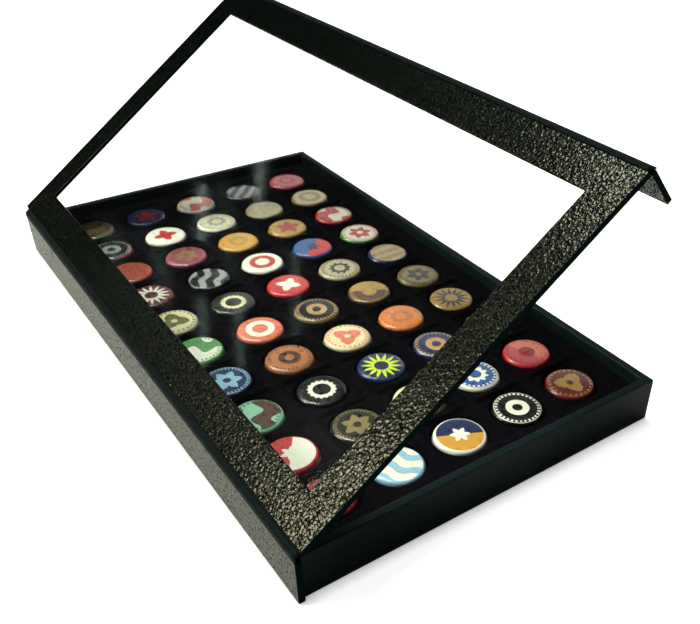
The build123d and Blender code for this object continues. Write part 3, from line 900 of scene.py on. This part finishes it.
class DISPLAYCASE_OT_covers(Operator):
    """Leatherette covers of the lid, flap, spine and walls"""

    bl_idname = "display_case.covers"
    bl_label = "Leatherette Covers"

    def execute(self, context):
        settings = context.scene.display_case.leatherette
        size = settings.pebble_size
        pebbled = pebble_material("pebble_leatherette", settings, size, relief=1.0)
        finish_node(pebbled, "lid_cover", "flap_cover", "flap_lining")
        fine = fine_material(
            "fine_leatherette", settings, settings.wall_colour, roughness=0.38, gloss=0.13, relief=2.2
        )
        # The spine's grain is a little finer, and handling has rubbed it down
        rubbed = pebble_material("rubbed_leatherette", settings, 0.9 * size, relief=0.28)
        finish_node(rubbed, "spine_cover")
        lining = fine_material(
            "embossed_lining", settings, settings.lining_colour, roughness=0.5, gloss=0.4, relief=1.2
        )
        finish_node(lining, "lid_lining")
        self.wrap_walls(settings, fine)
        return {"FINISHED"}

    def wrap_walls(self, settings, material):
        """One wrap round all four walls, with mitred corners and small wrinkles along the rim."""
        points = []
        section = self.section(settings)
        for inward, height, side_push, lift, loose in section:
            start = len(points)
            for side in range(4):
                turn = pi / 2 * side
                along = Vector((round(cos(turn)), round(sin(turn)), 0))
                outward = Vector((along.y, -along.x, 0))
                own, other = (TRAY_HIGH.x, TRAY_HIGH.y) if side % 2 == 0 else (TRAY_HIGH.y, TRAY_HIGH.x)
                for station, seam in self.stations(own, inward):
                    place = along * station + outward * (other - inward)
                    place.z = height
                    swell = WRAP_FULLNESS
                    for wrinkle in (LONG_WRINKLE, SHORT_WRINKLE):
                        swell += WRINKLE_SHARE * ripple(*place, wrinkle)
                    push = loose * settings.wrinkle * (max(0.0, swell) - MITRE_SINK * seam)
                    points.append(place + (outward * side_push + Vector((0, 0, lift))) * push)
            columns = len(points) - start
        faces = grid_faces(len(section), columns, closed_rows=True, closed_columns=True)
        wrap = mesh_object("wall_wrap", points, faces, material)
        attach(wrap, "tray")
        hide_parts("wall_cover")

    def stations(self, half, inward):
        """Places along one wall from corner to corner, and how near each is to the mitre."""
        reach = half - inward
        steps = int(2 * half / WRAP_STEP)
        first = [(gap - reach, seam) for gap, seam in MITRE]
        inner = reach - MITRE_REACH
        middle = [(inner * (2 * step / steps - 1), 0.0) for step in range(steps + 1)]
        last = [(reach - gap, seam) for gap, seam in reversed(MITRE[1:])]
        return first + middle + last

    def section(self, settings):
        """The wrap's closed section. Each point: distance in from the outer face, height, the
        way it is pushed by a wrinkle, outward and up, and how loosely it lies."""
        top, low, thick = TRAY_HIGH.z, TRAY_LOW.z, WALL_THICKNESS
        rounding, stock = settings.rim_round, settings.stock
        face = top - rounding - low
        outer = [(0.0, low + face * step / 6, 1.0, 0.0, 0.25) for step in range(6)]
        arc = [pi / 8 * step for step in range(5)]
        for turn in arc:
            height = top - rounding * (1 - sin(turn))
            outer.append((rounding * (1 - cos(turn)), height, cos(turn), sin(turn), 1.0))
        outer += [(thick * part, top, 0.0, 1.0, 0.8) for part in (0.32, 0.5, 0.68)]
        for turn in reversed(arc):
            height = top - rounding * (1 - sin(turn))
            outer.append((thick - rounding * (1 - cos(turn)), height, -cos(turn), sin(turn), 1.0))
        outer += [(thick, low + face * part, -1.0, 0.0, 0.2) for part in (0.8, 0.4, 0.0)]
        inner = [(thick - stock, low), (thick - stock, top - stock), (stock, top - stock), (stock, low)]
        return outer + [(inward, height, 0.0, 0.0, 0.0) for inward, height in inner]


class DISPLAYCASE_OT_hinges(Operator):
    """Leatherette strips that bend between spine and lid, and between lid and flap"""

    bl_idname = "display_case.hinges"
    bl_label = "Hinge Strips"

    def execute(self, context):
        settings = context.scene.display_case.leatherette
        material = fine_material(
            "hinge_leatherette", settings, settings.wall_colour, roughness=0.5, gloss=0.08, relief=2.2
        )
        self.strip(settings, "lid_hinge", ("tray", "lid"), 1, material, LID_STRIP_BOW)
        self.strip(settings, "flap_hinge", ("lid", "flap"), 0, material, FLAP_STRIP_BOW)
        return {"FINISHED"}

    def strip(self, settings, name, bodies, across, material, bows):
        """A strip over a hinge node's place. across is the axis, 0 for Y and 1 for Z, that tells
        its two edges apart. bows is how far it stands out at even steps from edge to edge."""
        node = f"{name}_strip"
        corners = {(round(v.co.y, 6), round(v.co.z, 6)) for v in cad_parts[node].data.vertices}
        ordered = sorted(corners, key=lambda corner: corner[across], reverse=across == 0)
        first = Vector((0, *max(ordered[:2], key=lambda corner: corner[1 - across])))
        last = Vector((0, *max(ordered[2:], key=lambda corner: corner[1 - across])))
        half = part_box(node)[1].x
        run = (last - first).normalized()
        outward = Vector((0, -run.z, run.y)) if across == 0 else Vector((0, run.z, -run.y))
        span = (last - first).length + 2 * TUCK
        steps, lengths = STRIP_STEPS, int(2 * half / STRIP_STEP)
        points = []
        for inner in (False, True):
            for step in reversed(range(steps + 1)) if inner else range(steps + 1):
                part = step / steps
                loose = sin(pi * part)
                bow = float(np.interp(part, np.linspace(0, 1, len(bows)), bows)) * MM
                if inner:
                    bow -= settings.hinge_stock * BENT_STOCK
                for station in range(lengths + 1):
                    x = half * (2 * station / lengths - 1)
                    fold = LONG_FOLD * ripple(x, 0, 3 * part, 6 * MM)
                    fold += SHORT_FOLD * ripple(x, 9, 8 * part, 2 * MM)
                    place = first + run * (span * part - TUCK) + outward * (bow + fold * loose * MM)
                    points.append(place + Vector((x, 0, 0)))
        rows, columns = 2 * (steps + 1), lengths + 1
        faces = grid_faces(rows, columns, closed_rows=True)
        faces.append(tuple(row * columns for row in range(rows)))
        faces.append(tuple(row * columns + lengths for row in reversed(range(rows))))
        made = mesh_object(name, points, faces, material)
        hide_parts(node)
        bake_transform(made)


class DISPLAYCASE_OT_insert(Operator):
    """Velvet covered insert: padded border, padded ridges and a nest for each cap"""

    bl_idname = "display_case.insert"
    bl_label = "Velvet Insert"

    def execute(self, context):
        settings = context.scene.display_case.velvet
        # The bed is upholstery foam: an open, grey, matt sponge
        foam = fibrous_material(
            "upholstery_foam", "3A3A3C", "5A5A5C", speck=0.9 * MM, depth=0.1 * MM, roughness=0.95
        )
        finish_node(foam, "foam_pad")
        made = bmesh.new()
        for row in range(CAP_ROWS):
            for column in range(CAP_COLUMNS):
                middle = Vector((FIRST_CAP.x + row * PITCH_LONG, FIRST_CAP.y + column * PITCH_CROSS, 0))
                self.cell(made, settings, middle)
        bmesh.ops.remove_doubles(made, verts=made.verts, dist=0.001 * MM)
        self.border(made, settings)
        mesh = bpy.data.meshes.new("velvet_insert")
        made.to_mesh(mesh)
        made.free()
        mesh.materials.append(velvet_material(settings))
        mesh.shade_smooth()
        insert = bpy.data.objects.new("velvet_insert", mesh)
        context.scene.collection.objects.link(insert)
        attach(insert, "tray")
        soft = ("velvet_floor", "border_strip", "long_divider", "cross_divider")
        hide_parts(*(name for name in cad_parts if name.startswith(soft)))
        return {"FINISHED"}

    def cell(self, made, settings, middle):
        """One cell: a round nest under the cap, and the padding from it to the crests about it."""
        nest = SKIRT_RADIUS + settings.nest_room
        sides = 14
        along = [2 * step / sides - 1 for step in range(sides)]
        square = [(s, -1) for s in along] + [(1, s) for s in along]
        square += [(-s, 1) for s in along] + [(-1, -s) for s in along]
        floor = INSERT_HIGH.z
        # Two rings on the nest's floor, then rings from its rim out to the crests
        flat = (0.9, 0.997)
        parts = (0.0, 0.1, 0.24, 0.4, 0.56, 0.7, 0.82, 0.92, 1.0)
        rings = [[] for ring in flat + parts]
        for u, v in square:
            crest = Vector((u * PITCH_LONG / 2, v * PITCH_CROSS / 2, 0))
            edge = crest.normalized() * nest
            for ring, part in zip(rings, flat):
                ring.append(middle + edge * part + Vector((0, 0, floor)))
            for ring, part in zip(rings[len(flat):], parts):
                place = middle + edge.lerp(crest, part)
                place.z = self.height(settings, place.x, place.y)
                ring.append(place)
        rows = [[made.verts.new(place) for place in ring] for ring in rings]
        pole = made.verts.new(middle + Vector((0, 0, floor)))
        count = len(square)
        for index in range(count):
            following = (index + 1) % count
            made.faces.new((pole, rows[0][index], rows[0][following]))
            for inner, outer in zip(rows, rows[1:]):
                made.faces.new((inner[index], outer[index], outer[following], inner[following]))

    def border(self, made, settings):
        """The padded border from the outermost crests to the walls, the sides and the underside."""
        edges = [edge for edge in made.edges if len(edge.link_faces) == 1]
        for part in (0.3, 0.65, 0.9, 1.0):
            edges = self.widen(made, settings, edges, part)
        skirt = bmesh.ops.extrude_edge_only(made, edges=edges)["geom"]
        for vert in skirt:
            if isinstance(vert, bmesh.types.BMVert):
                vert.co.z = INSERT_LOW.z
        rim = [item for item in skirt if isinstance(item, bmesh.types.BMEdge)]
        bmesh.ops.contextual_create(made, geom=rim)
        bmesh.ops.recalc_face_normals(made, faces=made.faces)

    def widen(self, made, settings, edges, part):
        """Draw the outer edges out to this part of the way from the outermost crests to the walls."""
        out = bmesh.ops.extrude_edge_only(made, edges=edges)["geom"]
        half_x = self.crest_x + (INSERT_HIGH.x - self.crest_x) * part
        half_y = self.crest_y + (INSERT_HIGH.y - self.crest_y) * part
        verts = [item for item in out if isinstance(item, bmesh.types.BMVert)]
        wide = max(abs(vert.co.x) for vert in verts)
        deep = max(abs(vert.co.y) for vert in verts)
        for vert in verts:
            vert.co.x *= half_x / wide
            vert.co.y *= half_y / deep
            vert.co.z = self.height(settings, vert.co.x, vert.co.y)
        return [item for item in out if isinstance(item, bmesh.types.BMEdge)]

    @property
    def crest_x(self):
        """How far the outermost crests lie from the middle, along the case."""
        return CAP_ROWS * PITCH_LONG / 2

    @property
    def crest_y(self):
        """How far the outermost crests lie from the middle, across the case."""
        return CAP_COLUMNS * PITCH_CROSS / 2

    def height(self, settings, x, y):
        """Height of the velvet over (x, y), outside the nests."""
        low, top = INSERT_HIGH.z + settings.nest_depth, DIVIDER_TOP
        uneven = settings.unevenness * (ripple(x, y, 0, UNEVEN_PATCH) - UNEVEN_SINK)
        if abs(x) > self.crest_x or abs(y) > self.crest_y:
            to_wall = min(INSERT_HIGH.x - abs(x), INSERT_HIGH.y - abs(y))
            return top + uneven - settings.pinch * max(0.0, 1 - to_wall / WALL_DIP) ** 2
        phase_x = ((x + self.crest_x) / PITCH_LONG) % 1
        phase_y = ((y + self.crest_y) / PITCH_CROSS) % 1
        to_x = min(phase_x, 1 - phase_x) * PITCH_LONG
        to_y = min(phase_y, 1 - phase_y) * PITCH_CROSS
        rise = max(
            self.roll(to_x / settings.cross_roll) - settings.pinch / (top - low) * self.near(to_y),
            self.roll(to_y / settings.long_roll) - settings.pinch / (top - low) * self.near(to_x),
            0.0,
        )
        return low + (top - low) * rise + uneven * (0.4 + 0.6 * rise)

    def roll(self, part):
        """A padded roll's section, from 1 on its crest to 0 at its foot."""
        return max(0.0, 1 - part**ROLL_SQUARENESS) ** 0.5 if part < 1 else 0.0

    def near(self, distance):
        """How much a crossing this far away pulls a roll down."""
        return max(0.0, 1 - distance / CROSSING_REACH) ** 2


class DISPLAYCASE_OT_caps(Operator):
    """Fifty crown caps, in rows of five"""

    bl_idname = "display_case.caps"
    bl_label = "Crown Caps"

    def execute(self, context):
        settings = context.scene.display_case.caps
        material = print_material()
        cap = self.cap(settings, material)
        tree = self.row_tree()
        sockets = {s.name: s.identifier for s in tree.interface.items_tree if s.in_out == "INPUT"}
        for row, designs in enumerate(COLLECTION):
            places = self.places(row, designs)
            layout = places.modifiers.new("row", "NODES")
            layout.node_group = tree
            given = {
                "Cap": cap,
                "Finish": material,
                "Lowest": (-CAP_LEAN, -CAP_LEAN, 0.0),
                "Highest": (CAP_LEAN, CAP_LEAN, tau),
                "Seed": settings.seed + row,
            }
            for name, value in given.items():
                layout[sockets[name]] = value
            laid = places.evaluated_get(context.evaluated_depsgraph_get())
            mesh = bpy.data.meshes.new_from_object(laid)
            mesh.name = f"crown_caps_{row + 1}"
            bpy.data.objects.remove(places)
            caps = bpy.data.objects.new(mesh.name, mesh)
            context.scene.collection.objects.link(caps)
            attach(caps, "tray")
            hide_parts(f"cap_row_{row + 1}")
        bpy.data.objects.remove(cap)
        return {"FINISHED"}

    def cap(self, settings, material):
        """One crown cap at the origin, its rim's edge on the ground."""
        shoulder = settings.shoulder_diameter / 2
        flare = SKIRT_RADIUS - shoulder
        top = CAP_HEIGHT - settings.dome
        flat = shoulder - settings.corner
        rings = [(flat * part, CAP_HEIGHT - settings.dome * part**2, 0.0) for part in (0.35, 0.65, 0.88)]
        for step in range(6):
            turn = pi / 10 * step
            height = top - settings.corner * (1 - cos(turn))
            rings.append((flat + settings.corner * sin(turn), height, 0.0))
        skirt = top - settings.corner
        parts = (0.1, 0.22, 0.36, 0.52, 0.68, 0.84, 0.96)
        rings += [(shoulder, skirt * (1 - part), part) for part in parts]
        rings += [(shoulder - EDGE_TURN, 0.0, 1.0), (shoulder - settings.metal, EDGE_LIFT, 1.0)]
        rings += [(shoulder - settings.metal, skirt * (1 - part), part) for part in (0.8, 0.5, 0.2)]
        rings += [(flat - settings.metal, top - 2 * settings.metal, 0.0)]
        columns = 8 * settings.flutes
        points = []
        for radius, height, part in rings:
            spread = part * part * (3 - 2 * part)
            for column in range(columns):
                turn = tau * column / columns
                lobe = (0.5 + 0.5 * cos(settings.flutes * turn)) ** LOBE_SQUARENESS
                out = radius + spread * (flare - settings.flute_depth * (1 - lobe))
                points.append(Vector((out * cos(turn), out * sin(turn), height)))
        faces = [tuple(reversed(face)) for face in grid_faces(len(rings), columns, closed_columns=True)]
        middle, under = len(points), len(points) + 1
        points += [Vector((0, 0, CAP_HEIGHT)), Vector((0, 0, top - 2 * settings.metal))]
        last = (len(rings) - 1) * columns
        for column in range(columns):
            following = (column + 1) % columns
            faces.append((middle, column, following))
            faces.append((under, last + following, last + column))
        cap = mesh_object("cap", points, faces, material)
        face = cap.data.uv_layers.new(name="face")
        for loop in cap.data.loops:
            place = cap.data.vertices[loop.vertex_index].co
            face.data[loop.index].uv = (0.5 + place.x / shoulder / 2, 0.5 + place.y / shoulder / 2)
        return cap

    def places(self, row, designs):
        """A row's five places, each with its cap's design and inks."""
        first = FIRST_CAP + Vector((row * PITCH_LONG, 0, CAP_ROOM))
        mesh = bpy.data.meshes.new("places")
        places = [first + Vector((0, step * PITCH_CROSS, 0)) for step in range(CAP_COLUMNS)]
        mesh.from_pydata(places, [], [])
        for index, name in enumerate(DESIGN_PARTS):
            values = mesh.attributes.new(name, "FLOAT_VECTOR", "POINT").data
            for value, design in zip(values, designs):
                value.vector = DESIGNS[design[0]][index]
        for index, name in enumerate(INK_PARTS):
            values = mesh.attributes.new(name, "FLOAT_COLOR", "POINT").data
            for value, design in zip(values, designs):
                value.color = colour(INKS[design[1 + index]])
        made = bpy.data.objects.new("places", mesh)
        bpy.context.scene.collection.objects.link(made)
        return made

    def row_tree(self):
        """A cap on each point, turned at random and leaning a little."""
        tree = bpy.data.node_groups.new("row_of_caps", "GeometryNodeTree")
        inputs = (
            ("Places", "NodeSocketGeometry"),
            ("Cap", "NodeSocketObject"),
            ("Finish", "NodeSocketMaterial"),
            ("Lowest", "NodeSocketVector"),
            ("Highest", "NodeSocketVector"),
            ("Seed", "NodeSocketInt"),
        )
        for name, kind in inputs:
            tree.interface.new_socket(name, in_out="INPUT", socket_type=kind)
        tree.interface.new_socket("Caps", in_out="OUTPUT", socket_type="NodeSocketGeometry")
        given = add(tree, "NodeGroupInput").outputs
        cap = add(tree, "GeometryNodeObjectInfo", {"Object": given["Cap"]})
        turn = add(
            tree,
            "FunctionNodeRandomValue",
            {0: given["Lowest"], 1: given["Highest"], "Seed": given["Seed"]},
            data_type="FLOAT_VECTOR",
        )
        laid = add(
            tree,
            "GeometryNodeInstanceOnPoints",
            {"Points": given["Places"], "Instance": cap.outputs["Geometry"], "Rotation": turn},
        )
        real = add(tree, "GeometryNodeRealizeInstances", {"Geometry": laid})
        dressed = add(tree, "GeometryNodeSetMaterial", {"Geometry": real, "Material": given["Finish"]})
        add(tree, "NodeGroupOutput", {"Caps": dressed})
        return tree


class DISPLAYCASE_PT_sidebar(Panel):
    """Builds the display case piece by piece"""

    bl_idname = "DISPLAYCASE_PT_sidebar"
    bl_label = "Display Case"
    bl_space_type = "VIEW_3D"
    bl_region_type = "UI"
    bl_category = "Display Case"

    def draw(self, context):
        for operator in OPERATORS:
            self.layout.operator(operator.bl_idname)
        settings = context.scene.display_case
        for group in (settings.studio, settings.leatherette, settings.velvet, settings.caps):
            box = self.layout.box()
            for name in group.__annotations__:
                box.prop(group, name)


OPERATORS = (
    DISPLAYCASE_OT_studio,
    DISPLAYCASE_OT_boards,
    DISPLAYCASE_OT_covers,
    DISPLAYCASE_OT_hinges,
    DISPLAYCASE_OT_insert,
    DISPLAYCASE_OT_caps,
)
CLASSES = (
    StudioSettings,
    LeatheretteSettings,
    VelvetSettings,
    CapSettings,
    DisplayCaseSettings,
    *OPERATORS,
    DISPLAYCASE_PT_sidebar,
)


def register():
    for cls in CLASSES:
        bpy.utils.register_class(cls)
    bpy.types.Scene.display_case = PointerProperty(type=DisplayCaseSettings)


def unregister():
    del bpy.types.Scene.display_case
    for cls in reversed(CLASSES):
        bpy.utils.unregister_class(cls)


def main():
    register()
    bpy.ops.display_case.studio()
    bpy.ops.display_case.boards()
    bpy.ops.display_case.covers()
    bpy.ops.display_case.hinges()
    bpy.ops.display_case.insert()
    bpy.ops.display_case.caps()


if __name__ == "__main__":
    main()
